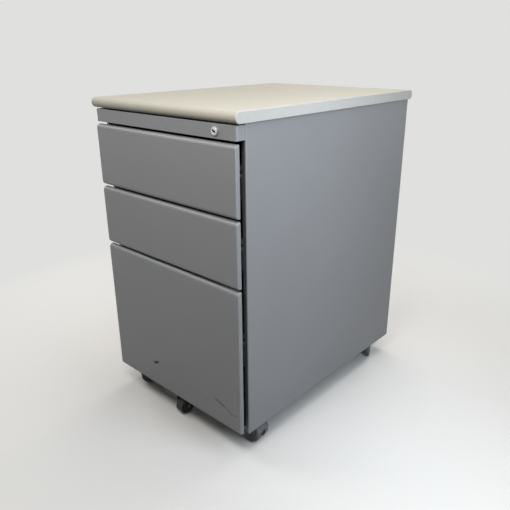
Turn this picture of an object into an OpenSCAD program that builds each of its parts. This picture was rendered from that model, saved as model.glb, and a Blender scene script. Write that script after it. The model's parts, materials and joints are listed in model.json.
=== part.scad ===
// Rolling pedestal cabinet in folded sheet steel: two box drawers over a file drawer, a central lock,
// a laminated top with rounded front and rear edges, four twin-wheel casters and an anti-tilt wheel.
// Millimetres. +Z is up, drawers open towards -Y, origin on the floor under the middle of the top.

/* [Cabinet body] */
// Width over the two side panels
body_w = 390; // [370:5:460]
// Depth from the front flanges to the rear flanges
body_d = 532; // [522:2:620]
// Thickness of the steel sheet
sheet = 1; // [0.8:0.1:1.3]
// Width of the flanges turned in at the front, rear and top of a side panel
flange_w = 13; // [12:0.5:16]
// Outside radius of the upright bends of a side panel
bend_r = 2.5; // [1.8:0.1:4]
// How far the side panels reach below the base pan
skirt_drop = 4; // [2:0.5:6]
// Height of the edges turned up along the base pan
base_upturn = 10; // [6:1:14]
// Depth of the channel of a top cross rail
cross_rail_h = 10; // [6:1:14]
// Width of a top cross rail
cross_rail_w = 30; // [24:1:40]

/* [Top] */
// Thickness of the laminated board
top_t = 19; // [18:0.5:32]
// Overhang of the top past each side panel
top_side_overhang = 5; // [1:0.5:8]
// Overhang of the top's nose past the drawer fronts
top_front_overhang = 2.5; // [2:0.5:15]
// Overhang of the top past the back of the body
top_rear_overhang = 6.5; // [2:0.5:30]
// Thickness of the band glued on each side edge of the board
edge_band_t = 2; // [1:0.5:3]

/* [Drawer fronts] */
// Height of the two box drawer fronts
box_front_h = 123.5; // [115:0.5:160]
// Height of the file drawer front
file_front_h = 303; // [285:1:330]
// Gap between one drawer front and the next
drawer_gap = 4; // [3:0.5:8]
// Height of the lowest front above the bottom edge of the side panels
front_lift = 8; // [7:0.5:18]
// Depth of a folded drawer front
front_depth = 9.5; // [8:0.5:14]
// Finger space between a drawer front and the body
grip_gap = 14.5; // [10:0.5:18]
// Outside radius of the upper and lower edges of a drawer front
front_edge_r = 6; // [3:0.5:7]
// Outside radius of the upright edges of a drawer front
front_corner_r = 3.5; // [2:0.5:6]
// Width of the lip turned in round the back of a drawer front
front_lip = 8; // [6:0.5:11]

/* [Lock rail] */
// Height of the rail under the top
rail_h = 25.5; // [22:0.5:30]
// Gap between the rail and the upper drawer front
rail_gap = 5; // [2:0.5:8]
// Gap between the rail and the top
top_gap = 1.5; // [1:0.5:4]
// Outside radius of the rail's upright edges
rail_corner_r = 4.5; // [2:0.5:6]
// Outside radius of the rail's long edges
rail_edge_r = 2; // [1.5:0.1:3]

/* [Trays] */
// Height of the sides of a box drawer tray
box_tray_h = 85; // [78:1:95]
// Height of the sides of the file drawer tray
file_tray_h = 240; // [205:5:255]
// Depth of a box drawer tray
box_tray_d = 470; // [420:5:505]
// Depth of the file drawer tray
file_tray_d = 510; // [500:2:520]
// Height of a tray's bottom above the bottom of its front
tray_lift = 12; // [10:0.5:16]
// Height of the doubled hem along the top of a tray
tray_hem = 8; // [5:0.5:10]
// Height of a hanger rail above the side of the file tray
hanger_rise = 6; // [3:0.5:10]

/* [Runners] */
// Thickness of the runner steel
runner_t = 1.2; // [1:0.1:1.3]
// Width of a closed runner from upright to tray
runner_w = 12.5; // [12.2:0.1:13.5]
// Height of the outer member of a box drawer runner
box_runner_h = 35; // [32:0.5:38]
// Height of the outer member of a file drawer runner
file_runner_h = 45; // [42:0.5:50]
// Length of a box drawer runner
box_runner_l = 400; // [380:5:450]
// Length of a file drawer runner
file_runner_l = 500; // [480:5:510]
// How far a box drawer opens
box_travel = 300; // [250:5:320]
// How far the file drawer opens
file_travel = 450; // [400:5:460]
// Height of a box drawer runner's middle above the tray bottom
box_runner_rise = 35; // [30:0.5:36]
// Height of the file drawer runner's middle above the tray bottom
file_runner_rise = 150; // [100:1:155]
// Diameter of the runner balls
ball_d = 3; // [2.8:0.1:3.1]
// Play between a ball and the members that it runs between
ball_play = 0.15; // [0.12:0.01:0.18]
// Spacing of the balls in a cage
ball_pitch = 25; // [20:1:40]

/* [Lock] */
// Distance of the lock from the right side of the body
lock_inset = 46; // [46:1:70]
// Diameter of the lock's rim on the rail
lock_rim_d = 14.5; // [14:0.5:16]
// Diameter of the turning plug
plug_d = 9.6; // [9:0.2:10]
// Distance of the cam pin from the plug's axis
cam_r = 8; // [6:0.5:8.5]
// Diameter of the cam pin
cam_pin_d = 4; // [3:0.2:4.4]
// Thickness of the lock bar
lock_bar_t = 1.5; // [1.2:0.1:2]
// Height of a lock bar guide
guide_h = 12; // [8:1:16]

/* [Casters] */
// Diameter of the caster wheels
wheel_d = 40; // [36:1:46]
// Width of one of the two wheels of a caster
wheel_w = 12; // [10:0.5:14]
// Distance from the swivel axis to the wheel axle
caster_trail = 16; // [15:0.5:18]
// Height from the top of the wheels to the base pan
caster_head = 10; // [9:0.5:14]
// Thickness of a caster plate
plate_t = 2; // [1.5:0.1:2.5]
// Side of the square caster plate
plate_w = 40; // [38:1:46]
// Distance of the swivel axes from the sides of the body
caster_inset_x = 39; // [30:1:60]
// Distance of the front swivel axes from the front of the body
front_caster_inset = 42; // [42:0.5:80]
// Distance of the rear swivel axes from the rear of the body
rear_caster_inset = 49; // [42:0.5:80]
// Diameter of the swivel stem
stem_d = 8; // [7:0.5:8.5]
// Diameter of the wheel axle
axle_d = 6; // [5:0.5:7]
// Diameter of the anti-tilt wheel under the file drawer
tilt_wheel_d = 38; // [30:1:40]
// Width of the anti-tilt wheel
tilt_wheel_w = 20; // [14:1:24]
// Height of the anti-tilt wheel above the floor
tilt_clear = 1.5; // [1:0.5:4]

/* [Fits] */
// Radial play of a turning fit
turn_play = 0.05; // [0.03:0.01:0.1]
// Gap between parts that slide or turn past each other
slide_gap = 0.5; // [0.4:0.05:0.6]

/* [Hidden] */
$fn = 64;
half_w = body_w / 2;
side_in = half_w - sheet;
flat_in = half_w - bend_r;
top_w = body_w + 2 * top_side_overhang;
stand_off = front_depth + grip_gap;
top_d = top_front_overhang + stand_off + body_d + top_rear_overhang;
face_y = top_front_overhang - top_d / 2;
pan_back_y = face_y + front_depth;
body_y0 = face_y + stand_off;
body_y1 = body_y0 + body_d;
body_mid_y = (body_y0 + body_y1) / 2;
caster_h = wheel_d + caster_head;
base_z = caster_h;
skirt_z = base_z - skirt_drop;
file_z = skirt_z + front_lift;
middle_z = file_z + file_front_h + drawer_gap;
upper_z = middle_z + box_front_h + drawer_gap;
rail_z = upper_z + box_front_h + rail_gap;
body_z1 = rail_z + rail_h + top_gap;
lock_x = half_w - lock_inset;
lock_z = rail_z + rail_h / 2;

upright_x = half_w - flange_w + slide_gap;
upright_w = 40;
upright_inset = 16;
upright_pitch = 314;
upright_ys = [for (i = [0, 1]) body_y0 + upright_inset + i * upright_pitch];
cross_rail_top = body_z1 - sheet;
cross_rail_inset = 35;
cross_rail_ys = [body_y0 + cross_rail_inset, body_y1 - cross_rail_inset];
upright_z0 = base_z + base_upturn;
upright_z1 = cross_rail_top - cross_rail_h;
top_screw_inset = 74;
top_screw_x = half_w - top_screw_inset;
top_screw_d = 4;
screw_head_d = 7;
screw_head_h = 2.2;
screw_play = 0.2;
screw_bite = 15;

tray_half = upright_x - runner_w;
wall_margin = 4;
runner_inset = 3;
runner_y0 = body_y0 + runner_inset;
race = ball_d + 2 * ball_play;
race_lip = race - slide_gap;
member_gap = slide_gap + 0.3;
mid_u0 = runner_t + member_gap;
mid_u1 = runner_w - runner_t - member_gap;
cabinet_reach_file = mid_u0 + 2 * runner_t + race;
cabinet_reach_box = runner_w - runner_t - 2 * slide_gap;
cage_rod_d = 1.4;
box_inner_v = box_runner_h / 2 - runner_t - race;
box_lip_u = cabinet_reach_box - runner_t - race;
file_mid_v = file_runner_h / 2 - runner_t - race;
file_inner_v = file_mid_v - runner_t - race;
file_lip_u = mid_u1 - runner_t - race;

bar_upright_gap = 2;
bar_bend_gap = 1.5;
bar_flange_gap = 1;
bar_x0 = upright_x + bar_upright_gap;
bar_x1 = flat_in - bar_bend_gap;
bar_y0 = body_y0 + sheet + bar_flange_gap;
bar_y1 = bar_y0 + lock_bar_t;
lock_half_turn = 45;
pin_x = lock_x + cam_r * cos(lock_half_turn);
pin_z = lock_z - cam_r * sin(lock_half_turn);
bar_lift = 2 * cam_r * sin(lock_half_turn);
catch_reach = 11;
catch_h = 10;
catch_rise = 10;
catch_bar_gap = 4;
catch_foot = [5, 12];
hook_h = 6;
hook_drop = 8;
hook_tray_gap = 5;
hook_x = tray_half + hook_tray_gap;
bar_head_h = 10;
cam_t = 2;
cam_y1 = bar_y0 - slide_gap;
cam_y0 = cam_y1 - cam_t;
cam_hub_r = 6.5;
tang_d = 6;
lock_proud = 1.2;
plug_proud = lock_proud + 0.2;
key_slot = [6.4, 1.8, 8];
key_slot_turn = 40;
barrel_d = 13;

wheel_r = wheel_d / 2;
web_half = 6;
wheel_x0 = web_half + slide_gap;
hood_gap = 1.2;
hood_t = 1.8;
hood_in = wheel_r + hood_gap;
hood_out = hood_in + hood_t;
hood_half = wheel_x0 + wheel_w - slide_gap;
boss_r = 8;
boss_z0 = wheel_r + sqrt(pow(wheel_r, 2) - pow(caster_trail - boss_r, 2)) + slide_gap;
swivel_gap = 0.3;
boss_z1 = caster_h - plate_t - swivel_gap;
stem_l = 17;
axle_seat = 7.8;
axle_half = wheel_x0 + axle_seat;
plate_hole_inset = 5;
plate_hole = plate_w / 2 - plate_hole_inset;
plate_hole_d = 4;
plate_corner_r = 4;
caster_x = half_w - caster_inset_x;
caster_ys = [body_y0 + front_caster_inset, body_y1 - rear_caster_inset];

tilt_r = tilt_wheel_d / 2;
tilt_z = tilt_r + tilt_clear;
tilt_setback = 16.5;
tilt_y = pan_back_y + tilt_setback;
tilt_axle_d = 5;
cheek_t = 2;
cheek_x = tilt_wheel_w / 2 + slide_gap;
cheek_half = 13;
tilt_foot = 7;
notch_gap = [6, 10];
notch_half = cheek_x + cheek_t + tilt_foot + notch_gap[0];
notch_y = tilt_y + cheek_half + notch_gap[1];

// Each drawer: bottom of its front, front height, tray height, tray depth
UPPER = [upper_z, box_front_h, box_tray_h, box_tray_d];
MIDDLE = [middle_z, box_front_h, box_tray_h, box_tray_d];
FILE = [file_z, file_front_h, file_tray_h, file_tray_d];
function tray_z(d) = d[0] + tray_lift;
function box_runner_z(d) = tray_z(d) + box_runner_rise;
file_runner_z = tray_z(FILE) + file_runner_rise;
function box_catch_z(d) = box_runner_z(d) + box_runner_h / 2 + catch_rise;
file_catch_z = file_runner_z + file_runner_h / 2 + catch_rise;
guide_drop = 90;
guide_zs = [file_runner_z - guide_drop, (box_catch_z(MIDDLE) + box_catch_z(UPPER)) / 2];
bar_tail = 15;
bar_z0 = guide_zs[0] - bar_tail;

// Each caster: name, position in plan, rest angle of its trailing wheels
CASTERS = [
    ["front_left", -caster_x, caster_ys[0], 150],
    ["front_right", caster_x, caster_ys[0], 275],
    ["rear_left", -caster_x, caster_ys[1], 165],
    ["rear_right", caster_x, caster_ys[1], 205]
];
CASTER_PIECES = ["hood", "axle", "left_wheel", "right_wheel"];

STEEL = [0.58, 0.59, 0.6];
BRIGHT = [0.72, 0.73, 0.74];
DARK = [0.12, 0.12, 0.13];
GREY_PLASTIC = [0.45, 0.46, 0.48];
LAMINATE = [0.74, 0.73, 0.7];
BAND = [0.82, 0.83, 0.84];

// Box from one corner to the opposite one
module block(a, b) {
    translate(a)
        cube(b - a);
}

module both_sides() {
    children();
    mirror([1, 0, 0])
        children();
}

// Flat outline from y = 0 back to y = d, with the two front corners rounded
module front_rounded(w, d, r) {
    translate([-w / 2, r])
        square([w, d - r]);
    translate([r - w / 2, 0])
        square([w - 2 * r, r]);
    for (s = [-1, 1])
        translate([s * (w / 2 - r), r])
            circle(r);
}

// Extrudes an outline drawn in (y, z) along X, centred
module along_x(w) {
    rotate([90, 0, 90])
        linear_extrude(w, center = true)
            children();
}

// Solid of a folded front: upright edges of radius rv, level edges of radius rh, bottom at z = 0
module pan_solid(w, h, d, rv, rh) {
    intersection() {
        linear_extrude(h)
            front_rounded(w, d, rv);
        along_x(w)
            translate([0, h / 2])
                rotate(-90)
                    front_rounded(h, d, rh);
    }
}

module pan_shell(w, h, d, rv, rh) {
    difference() {
        pan_solid(w, h, d, rv, rh);
        translate([0, sheet, sheet])
            pan_solid(w - 2 * sheet, h - 2 * sheet, d, rv - sheet, rh - sheet);
    }
}

// Stadium outline of the top in (y, z)
module top_outline() {
    nose = top_t / 2;
    translate([nose - top_d / 2, 0])
        square([top_d - top_t, top_t]);
    for (s = [-1, 1])
        translate([s * (top_d / 2 - nose), nose])
            circle(nose);
}

// Right-hand side panel: front and rear flanges, top flange and the hem along the bottom
module side_panel() {
    inner_y1 = body_y1 - 2 * sheet;
    translate([half_w, body_mid_y, skirt_z])
        linear_extrude(body_z1 - skirt_z)
            rotate(90)
                difference() {
                    front_rounded(body_d, flange_w, bend_r);
                    translate([0, sheet])
                        front_rounded(body_d - 2 * sheet, flange_w, bend_r - sheet);
                }
    block([half_w - flange_w, body_y0 + sheet, body_z1 - sheet], [side_in, inner_y1, body_z1]);
    block([side_in - sheet, body_y0 + sheet, skirt_z], [side_in, inner_y1, base_z]);
}

module right_side_panel() {
    color(STEEL)
        side_panel();
}

module left_side_panel() {
    color(STEEL)
        mirror([1, 0, 0])
            side_panel();
}

module back_panel() {
    color(STEEL)
        block([-flat_in, body_y1 - 2 * sheet, skirt_z], [flat_in, body_y1 - sheet, body_z1]);
}

module base_pan() {
    y0 = body_y0 + bend_r;
    y1 = body_y1 - max(bend_r, 2 * sheet);
    z1 = base_z + sheet;
    color(STEEL)
        difference() {
            union() {
                block([-side_in, y0, base_z], [side_in, y1, z1]);
                both_sides()
                    block([side_in - sheet, y0, base_z], [side_in, y1, base_z + base_upturn]);
                block([-side_in, y0, base_z], [side_in, y0 + sheet, base_z + base_upturn / 2]);
                block([-side_in, y1 - sheet, base_z], [side_in, y1, base_z + base_upturn]);
            }
            block([-notch_half, body_y0, skirt_z], [notch_half, notch_y, base_z + 2 * base_upturn]);
            for (c = CASTERS)
                translate([c[1], c[2], base_z - sheet])
                    plate_holes(3 * sheet);
        }
}

module top_cross_rails() {
    z0 = cross_rail_top - cross_rail_h;
    w = cross_rail_w / 2;
    color(STEEL)
        for (y = cross_rail_ys)
            difference() {
                block([-side_in, y - w, z0], [side_in, y + w, cross_rail_top]);
                block([-half_w, y - w + sheet, z0 - sheet], [half_w, y + w - sheet, cross_rail_top - sheet]);
                for (s = [-1, 1])
                    translate([s * top_screw_x, y, z0])
                        cylinder(d = top_screw_d + 2 * screw_play, h = 2 * cross_rail_h);
            }
}

module runner_uprights() {
    color(STEEL)
        both_sides()
            for (y = upright_ys)
                difference() {
                    block([upright_x, y, upright_z0], [side_in, y + upright_w, upright_z1]);
                    block([upright_x + sheet, y + sheet, upright_z0 - sheet],
                          [half_w, y + upright_w - sheet, upright_z1 + sheet]);
                }
}

module top_board() {
    color(LAMINATE)
        difference() {
            translate([0, 0, body_z1])
                along_x(top_w - 2 * edge_band_t)
                    top_outline();
            for (y = cross_rail_ys, s = [-1, 1])
                translate([s * top_screw_x, y, body_z1 - sheet])
                    cylinder(d = top_screw_d + 2 * turn_play, h = screw_bite + 2 * sheet);
        }
}

module right_edge_band() {
    color(BAND)
        translate([(top_w - edge_band_t) / 2, 0, body_z1])
            along_x(edge_band_t)
                top_outline();
}

module left_edge_band() {
    mirror([1, 0, 0])
        right_edge_band();
}

module top_screws() {
    head_z = cross_rail_top - sheet - screw_head_h;
    color(BRIGHT)
        for (y = cross_rail_ys, s = [-1, 1])
            translate([s * top_screw_x, y, head_z]) {
                cylinder(d = screw_head_d, h = screw_head_h);
                cylinder(d = top_screw_d, h = screw_head_h + 2 * sheet + screw_bite);
            }
}

// Channel under the top, closed at both ends, that carries the lock
module lock_rail() {
    color(STEEL)
        translate([0, face_y, rail_z])
            difference() {
                pan_shell(body_w, rail_h, stand_off, rail_corner_r, rail_edge_r);
                translate([lock_x, -sheet, rail_h / 2])
                    rotate([-90, 0, 0])
                        cylinder(d = barrel_d + 2 * turn_play, h = 3 * sheet);
            }
}

// Places a part that is turned about the lock's axis, with z running back from the rail's face
module on_lock_axis() {
    translate([lock_x, face_y, lock_z])
        rotate([-90, 0, 0])
            children();
}

module lock_housing() {
    barrel_l = cam_y0 - face_y - slide_gap;
    color(BRIGHT)
        on_lock_axis()
            difference() {
                union() {
                    translate([0, 0, -lock_proud])
                        cylinder(d = lock_rim_d, h = lock_proud);
                    cylinder(d = barrel_d, h = barrel_l);
                }
                translate([0, 0, -2 * lock_proud])
                    cylinder(d = plug_d + 2 * turn_play, h = barrel_l + 4 * lock_proud);
            }
}

module lock_plug() {
    color(BRIGHT)
        on_lock_axis()
            difference() {
                union() {
                    translate([0, 0, -plug_proud])
                        cylinder(d = plug_d, h = cam_y0 - face_y + plug_proud);
                    cylinder(d = tang_d, h = cam_y1 - face_y);
                }
                rotate(key_slot_turn)
                    translate([-key_slot[0] / 2, -key_slot[1] / 2, -2 * lock_proud])
                        cube(key_slot);
            }
}

module lock_cam() {
    pin_past = 1.5;
    pin_wall = 2;
    arm_w = cam_pin_d + 2 * pin_wall;
    color(BRIGHT)
        on_lock_axis() {
            translate([0, 0, cam_y0 - face_y])
                linear_extrude(cam_t)
                    rotate(lock_half_turn)
                        difference() {
                            union() {
                                circle(cam_hub_r);
                                translate([0, -arm_w / 2])
                                    square([cam_r, arm_w]);
                                translate([cam_r, 0])
                                    circle(d = arm_w);
                            }
                            circle(d = tang_d);
                        }
            rotate(lock_half_turn)
                translate([cam_r, 0, cam_y0 - face_y])
                    cylinder(d = cam_pin_d, h = bar_y1 + pin_past - cam_y0);
        }
}

// Upright strip behind the right-hand front flange, with a slotted head for the cam pin and three hooks
module lock_bar() {
    head_wall = 4;
    head_x = pin_x - cam_pin_d / 2 - head_wall;
    slot_l = cam_r * (1 - cos(lock_half_turn)) + 2 * slide_gap;
    slot_h = cam_pin_d + 2 * slide_gap;
    color(BRIGHT)
        difference() {
            union() {
                block([bar_x0, bar_y0, bar_z0], [bar_x1, bar_y1, pin_z + bar_head_h / 2]);
                block([head_x, bar_y0, pin_z - bar_head_h / 2], [bar_x1, bar_y1, pin_z + bar_head_h / 2]);
                for (z = [box_catch_z(UPPER), box_catch_z(MIDDLE), file_catch_z])
                    block([hook_x, bar_y0, z - hook_drop], [bar_x1, bar_y1, z - hook_drop + hook_h]);
            }
            translate([pin_x - slide_gap - cam_pin_d / 2, bar_y0 - lock_bar_t, pin_z - slot_h / 2])
                cube([slot_l + cam_pin_d, 3 * lock_bar_t, slot_h]);
        }
}

module lock_bar_guides() {
    play = slide_gap / 2;
    side_wall = 1.2;
    rear_wall = 2.5;
    color(GREY_PLASTIC)
        for (z = guide_zs)
            difference() {
                block([bar_x0 - side_wall, body_y0 + sheet, z],
                      [bar_x1 + side_wall, bar_y1 + rear_wall, z + guide_h]);
                block([bar_x0 - play, bar_y0 - play, z - guide_h],
                      [bar_x1 + play, bar_y1 + play, z + 2 * guide_h]);
            }
}

// Folded drawer front with a lip turned in round its open back
module drawer_front(d) {
    h = d[1];
    lip_x = half_w - sheet - front_lip;
    lip_z = sheet + front_lip;
    color(STEEL)
        translate([0, face_y, d[0]]) {
            pan_shell(body_w, h, front_depth, front_corner_r, front_edge_r);
            difference() {
                block([-side_in, front_depth - sheet, sheet], [side_in, front_depth, h - sheet]);
                block([-lip_x, 0, lip_z], [lip_x, 2 * front_depth, h - lip_z]);
            }
        }
}

// Folded tray with a tall front wall behind the drawer front and doubled upper edges
module tray(d) {
    z0 = tray_z(d);
    z1 = z0 + d[2];
    y1 = pan_back_y + d[3];
    wall_z0 = d[0] + wall_margin;
    wall_z1 = d[0] + d[1] - wall_margin;
    color(STEEL) {
        block([-tray_half, pan_back_y, wall_z0], [tray_half, pan_back_y + sheet, wall_z1]);
        block([-tray_half, pan_back_y, z0], [tray_half, y1, z0 + sheet]);
        block([-tray_half, y1 - sheet, z0], [tray_half, y1, z1]);
        both_sides() {
            block([tray_half - sheet, pan_back_y, z0], [tray_half, y1, z1]);
            block([tray_half - 2 * sheet, pan_back_y, z1 - tray_hem], [tray_half, y1, z1]);
        }
    }
}

// Angle on the right of a tray that a hook of the lock bar holds back
module lock_catch(z) {
    y = bar_y1 + catch_bar_gap;
    color(BRIGHT) {
        block([tray_half, y - catch_foot[0], z], [tray_half + runner_t, y + catch_foot[1], z + catch_h]);
        block([tray_half, y, z], [tray_half + catch_reach, y + runner_t, z + catch_h]);
    }
}

// Places a runner section drawn in (u, z), u running from the upright towards the tray
module runner(z, l) {
    both_sides()
        translate([upright_x, runner_y0 + l, z])
            rotate([90, 0, 0])
                linear_extrude(l)
                    mirror([1, 0])
                        children();
}

// Upper and lower halves of a section that is the same above and below
module above_and_below() {
    children();
    mirror([0, 1])
        children();
}

// Outer section on the upright: web, flange and the lip that the balls run behind
module outer_section(h, reach) {
    square_between([0, -h / 2], [runner_t, h / 2]);
    above_and_below() {
        square_between([0, h / 2 - runner_t], [reach, h / 2]);
        square_between([reach - runner_t, h / 2 - runner_t - race_lip], [reach, h / 2]);
    }
}

// Inner section on the tray: v is the outside of its flange, u0 the inner side of its lip
module inner_section(v, u0) {
    square_between([runner_w - runner_t, -v], [runner_w, v]);
    above_and_below() {
        square_between([u0, v - runner_t], [runner_w, v]);
        square_between([u0, v - runner_t], [u0 + runner_t, v + race_lip]);
    }
}

module square_between(a, b) {
    translate(a)
        square(b - a);
}

module box_cabinet_runners(d) {
    color(BRIGHT)
        runner(box_runner_z(d), box_runner_l)
            outer_section(box_runner_h, cabinet_reach_box);
}

module box_drawer_runners(d) {
    color(BRIGHT)
        runner(box_runner_z(d), box_runner_l)
            inner_section(box_inner_v, box_lip_u - runner_t);
}

module file_cabinet_runners() {
    color(BRIGHT)
        runner(file_runner_z, file_runner_l)
            outer_section(file_runner_h, cabinet_reach_file);
}

module file_middle_runners() {
    web_v = file_mid_v + race_lip;
    color(BRIGHT)
        runner(file_runner_z, file_runner_l) {
            square_between([mid_u0, -web_v], [mid_u0 + runner_t, web_v]);
            above_and_below() {
                square_between([mid_u0, file_mid_v - runner_t], [mid_u1, file_mid_v]);
                square_between([mid_u1 - runner_t, file_mid_v - runner_t - race_lip], [mid_u1, file_mid_v]);
            }
        }
}

module file_drawer_runners() {
    color(BRIGHT)
        runner(file_runner_z, file_runner_l)
            inner_section(file_inner_v, file_lip_u - runner_t);
}

// Rows of balls on a rod, u and v being the middle of the race, from the place where the cage rests
module ball_cages(z, u, v, travel, l) {
    n = floor((l - travel) / ball_pitch);
    y0 = runner_y0 + travel / 2;
    color(DARK)
        both_sides()
            for (s = [-1, 1])
                translate([upright_x - u, y0, z + s * v]) {
                    rotate([-90, 0, 0])
                        cylinder(d = cage_rod_d, h = n * ball_pitch);
                    for (i = [0:n - 1])
                        translate([0, (i + 0.5) * ball_pitch, 0])
                            sphere(d = ball_d);
                }
}

module box_ball_cages(d) {
    ball_cages(box_runner_z(d), box_lip_u + race / 2, box_inner_v + race / 2, box_travel, box_runner_l);
}

module file_outer_ball_cages() {
    u = mid_u0 + runner_t + race / 2;
    ball_cages(file_runner_z, u, file_mid_v + race / 2, file_travel / 2, file_runner_l);
}

module file_inner_ball_cages() {
    ball_cages(file_runner_z, file_lip_u + race / 2, file_inner_v + race / 2, file_travel / 2, file_runner_l);
}

// Strips along the file tray that hanging folders hook over
module file_hanger_rails() {
    x1 = tray_half - 2 * sheet;
    z1 = tray_z(FILE) + file_tray_h + hanger_rise;
    end_gap = 12;
    color(BRIGHT)
        both_sides()
            block([x1 - 2 * sheet, pan_back_y + end_gap, z1 - hanger_rise - tray_hem],
                  [x1, pan_back_y + file_tray_d - end_gap, z1]);
}

module anti_tilt_bracket() {
    z1 = tray_z(FILE);
    foot_x = cheek_x + cheek_t + tilt_foot;
    color(DARK) {
        block([-foot_x, tilt_y - cheek_half, z1 - cheek_t], [foot_x, tilt_y + cheek_half, z1]);
        for (s = [-1, 1])
            translate([s * (cheek_x + cheek_t / 2), tilt_y, 0])
                along_x(cheek_t)
                    difference() {
                        union() {
                            translate([-cheek_half, tilt_z])
                                square([2 * cheek_half, z1 - tilt_z]);
                            translate([0, tilt_z])
                                circle(cheek_half);
                        }
                        translate([0, tilt_z])
                            circle(d = tilt_axle_d);
                    }
    }
}

module anti_tilt_axle() {
    half = cheek_x + cheek_t;
    rivet_d = tilt_axle_d + 3;
    rivet_t = 1.5;
    color(BRIGHT)
        translate([0, tilt_y, tilt_z])
            rotate([0, 90, 0]) {
                cylinder(d = tilt_axle_d, h = 2 * half, center = true);
                for (s = [-1, 1])
                    translate([0, 0, s * (half + rivet_t / 2)])
                        cylinder(d = rivet_d, h = rivet_t, center = true);
            }
}

module anti_tilt_wheel() {
    w = tilt_wheel_w;
    edge_r = 2.5;
    dish = 1.5;
    rim = 5;
    hub_r = tilt_axle_d;
    color(DARK)
        translate([0, tilt_y, tilt_z])
            rotate([0, 90, 0])
                rotate_extrude()
                    difference() {
                        union() {
                            square_between([0, -w / 2], [tilt_r - edge_r, w / 2]);
                            square_between([0, edge_r - w / 2], [tilt_r, w / 2 - edge_r]);
                            for (s = [-1, 1])
                                translate([tilt_r - edge_r, s * (w / 2 - edge_r)])
                                    circle(edge_r);
                        }
                        square_between([0, -w], [tilt_axle_d / 2 + turn_play, w]);
                        for (s = [-1, 1])
                            square_between([hub_r, s * w / 2 - dish], [tilt_r - rim, s * w / 2 + dish]);
                    }
}

module plate_holes(h) {
    for (sx = [-1, 1], sy = [-1, 1])
        translate([sx * plate_hole, sy * plate_hole, 0])
            cylinder(d = plate_hole_d + 2 * screw_play, h = h);
}

// Square plates under the base pan, each with a hole for its stem
module caster_plates() {
    r = plate_corner_r;
    w = plate_w / 2;
    color(BRIGHT)
        for (c = CASTERS)
            translate([c[1], c[2], base_z - plate_t]) {
                difference() {
                    linear_extrude(plate_t) {
                        square([plate_w, plate_w - 2 * r], center = true);
                        square([plate_w - 2 * r, plate_w], center = true);
                        for (sx = [-1, 1], sy = [-1, 1])
                            translate([sx * (w - r), sy * (w - r)])
                                circle(r);
                    }
                    translate([0, 0, -plate_t]) {
                        plate_holes(3 * plate_t);
                        cylinder(d = stem_d, h = 3 * plate_t);
                    }
                }
            }
}

// Pins riveted in the plates that the casters swivel on
module caster_stems() {
    color(BRIGHT)
        for (c = CASTERS)
            translate([c[1], c[2], base_z - plate_t - stem_l])
                cylinder(d = stem_d, h = stem_l + plate_t);
}

module caster_screws() {
    screw_past = 4;
    shank_l = plate_t + sheet + screw_past;
    color(BRIGHT)
        for (c = CASTERS, sx = [-1, 1], sy = [-1, 1])
            translate([c[1] + sx * plate_hole, c[2] + sy * plate_hole, base_z - plate_t - screw_head_h]) {
                cylinder(d = screw_head_d, h = screw_head_h);
                cylinder(d = plate_hole_d, h = screw_head_h + shank_l);
            }
}

// Body of a caster: web between the wheels, swivel boss and the curved hood over the wheels
module caster_hood() {
    web_r = wheel_r - 4;
    web_bite = hood_t / 3;
    hood_from = 20;
    hood_to = 158;
    far = 3 * wheel_d;
    boss_w = 2 * boss_r;
    color(GREY_PLASTIC)
        difference() {
            union() {
                translate([0, caster_trail, wheel_r]) {
                    along_x(2 * web_half) {
                        circle(web_r);
                        intersection() {
                            circle(hood_in + web_bite);
                            translate([-caster_trail - boss_r, boss_r])
                                square([boss_w + caster_trail, wheel_r]);
                        }
                    }
                    along_x(2 * hood_half)
                        intersection() {
                            difference() {
                                circle(hood_out);
                                circle(hood_in);
                            }
                            polygon([
                                [0, 0],
                                [far * cos(hood_from), far * sin(hood_from)],
                                [0, far],
                                [far * cos(hood_to), far * sin(hood_to)]
                            ]);
                        }
                }
                translate([0, 0, boss_z0])
                    cylinder(r = boss_r, h = boss_z1 - boss_z0);
            }
            translate([0, 0, base_z - plate_t - stem_l - slide_gap])
                cylinder(d = stem_d + 2 * turn_play, h = 2 * stem_l);
            translate([0, caster_trail, wheel_r])
                along_x(body_w)
                    circle(d = axle_d);
        }
}

module caster_axle() {
    color(BRIGHT)
        translate([0, caster_trail, wheel_r])
            rotate([0, 90, 0])
                cylinder(d = axle_d, h = 2 * axle_half, center = true);
}

// Cup-shaped wheel on the +X side: rounded tread, shallow dish outside, hollow inside
module caster_wheel() {
    tread_r = 3;
    edge_r = 1;
    hub_r = axle_d / 2 + 3.5;
    cup_r = wheel_r - 4;
    cup_depth = wheel_w / 2;
    dish_r = wheel_r - 6;
    dish = 1;
    color(GREY_PLASTIC)
        translate([wheel_x0, caster_trail, wheel_r])
            rotate([0, 90, 0])
                rotate_extrude()
                    difference() {
                        union() {
                            square_between([0, 0], [wheel_r - tread_r, wheel_w]);
                            square_between([0, edge_r], [wheel_r, wheel_w - tread_r]);
                            translate([wheel_r - tread_r, wheel_w - tread_r])
                                circle(tread_r);
                            square_between([0, 0], [wheel_r - edge_r, wheel_w - tread_r]);
                            translate([wheel_r - edge_r, edge_r])
                                circle(edge_r);
                        }
                        square_between([0, -dish], [axle_d / 2 + turn_play, axle_seat + slide_gap]);
                        square_between([hub_r, -dish], [cup_r, cup_depth]);
                        square_between([0, wheel_w - dish], [dish_r, wheel_w + dish]);
                    }
}

module caster_piece(c, piece) {
    translate([c[1], c[2], 0])
        rotate(c[3]) {
            if (piece == "hood")
                caster_hood();
            if (piece == "axle")
                caster_axle();
            if (piece == "right_wheel")
                caster_wheel();
            if (piece == "left_wheel")
                mirror([1, 0, 0])
                    caster_wheel();
        }
}

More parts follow.
